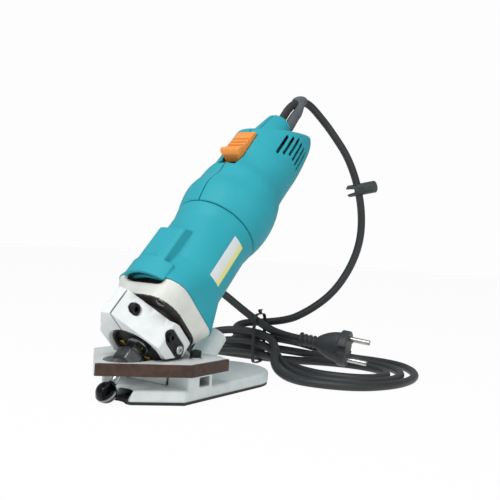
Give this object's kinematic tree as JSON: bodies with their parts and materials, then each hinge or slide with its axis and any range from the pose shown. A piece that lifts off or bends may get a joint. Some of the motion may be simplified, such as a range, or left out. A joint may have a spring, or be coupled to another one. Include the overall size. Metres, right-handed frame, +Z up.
{
  "type": "edge router",
  "caption": "Hand-held electric edge router: a leaning motor body clamped in a cast bracket on an iron-shaped base, with a ball cutter, angled fence, dust spout and tied mains cord.",
  "frame": {"origin": "middle of the base sole's underside, in the tool's plane of symmetry", "axes": "+Z up from the sole, -Y towards the nose with the cutter, +X to the right in a view along +Y"},
  "size_m": [0.2963, 0.3437, 0.2601],
  "materials": {
    "cast_aluminium": "shot blasted, matt",
    "die_cast_aluminium": "die cast, satin",
    "aluminium_plate": "milled, satin",
    "sole_plastic": "matt",
    "strip_laminate": "satin",
    "black_steel": "black oxide",
    "zinc_steel": "zinc plated",
    "yellow_zinc": "yellow zinc plated",
    "carbide": "ground",
    "ground_steel": "ground",
    "core_steel": "laminated",
    "copper": "bright",
    "carbon": "matt",
    "brass": "bright",
    "black_plastic": "matt",
    "housing_plastic": "moulded, fine grain",
    "switch_plastic": "moulded, satin",
    "label_film": "printed film, blank",
    "cord_rubber": "matt",
    "tie_plastic": "satin",
    "pin_nickel": "nickel plated"
  },
  "bodies": {
    "base": {"base_plate": "cast_aluminium", "base_sole": "sole_plastic", "sole_screws": "zinc_steel", "dust_spout": "aluminium_plate", "bracket": "cast_aluminium", "bracket_screws": "zinc_steel", "clamp_screw": "black_steel", "guide_key": "black_steel", "guide_key_socket_screw": "black_steel", "guide_key_cross_screw": "zinc_steel", "fence_screws": "black_steel", "fence_washers": "zinc_steel", "fence_nuts": "zinc_steel"},
    "fence": {"fence_plate": "aluminium_plate", "fence_strip": "strip_laminate"},
    "motor": {"head_casting": "die_cast_aluminium", "head_screws": "zinc_steel", "bearing_cover": "black_plastic", "cover_screws": "yellow_zinc", "front_bearing_outer": "ground_steel", "front_bearing_balls": "ground_steel", "rear_bearing_outer": "ground_steel", "rear_bearing_balls": "ground_steel", "motor_housing": "housing_plastic", "air_baffle": "black_plastic", "stator_core": "core_steel", "field_coils": "copper", "brush_holders": "brass", "brushes": "carbon", "handle_left": "housing_plastic", "handle_right": "housing_plastic", "handle_screws": "zinc_steel", "switch_block": "black_plastic", "cord_clamp": "black_plastic", "cord_clamp_screws": "zinc_steel", "label": "label_film", "strain_relief": "cord_rubber", "cord_drop": "cord_rubber", "cord_hank": "cord_rubber", "cord_tail": "cord_rubber", "cord_tie": "tie_plastic", "cord_clip": "cord_rubber", "plug_body": "cord_rubber", "plug_pins": "pin_nickel"},
    "spindle": {"cutter_body": "black_steel", "cutter_blade": "carbide", "collet": "ground_steel", "collet_nut": "black_steel", "spindle_shaft": "ground_steel", "front_bearing_inner": "ground_steel", "rear_bearing_inner": "ground_steel", "cooling_fan": "black_plastic", "armature_core": "core_steel", "armature_windings": "copper", "commutator": "copper"},
    "switch": {"switch_slider": "switch_plastic"}
  },
  "joints": [
    {"name": "depth_slide", "type": "slide", "parent": "base", "child": "motor", "axis": [0, 0.7071, 0.7071], "range_m": [0, 0.004]},
    {"name": "fence_slide", "type": "slide", "parent": "base", "child": "fence", "axis": [0, 1, 0], "range_m": [-0.003, 0.003]},
    {"name": "spindle_spin", "type": "hinge", "parent": "motor", "child": "spindle", "pos_m": [0, -0.0922, 0.0082], "axis": [0, 0.7071, 0.7071], "continuous": true},
    {"name": "switch_slide", "type": "slide", "parent": "motor", "child": "switch", "axis": [0, -0.7071, -0.7071], "range_m": [0, 0.005]}
  ]
}
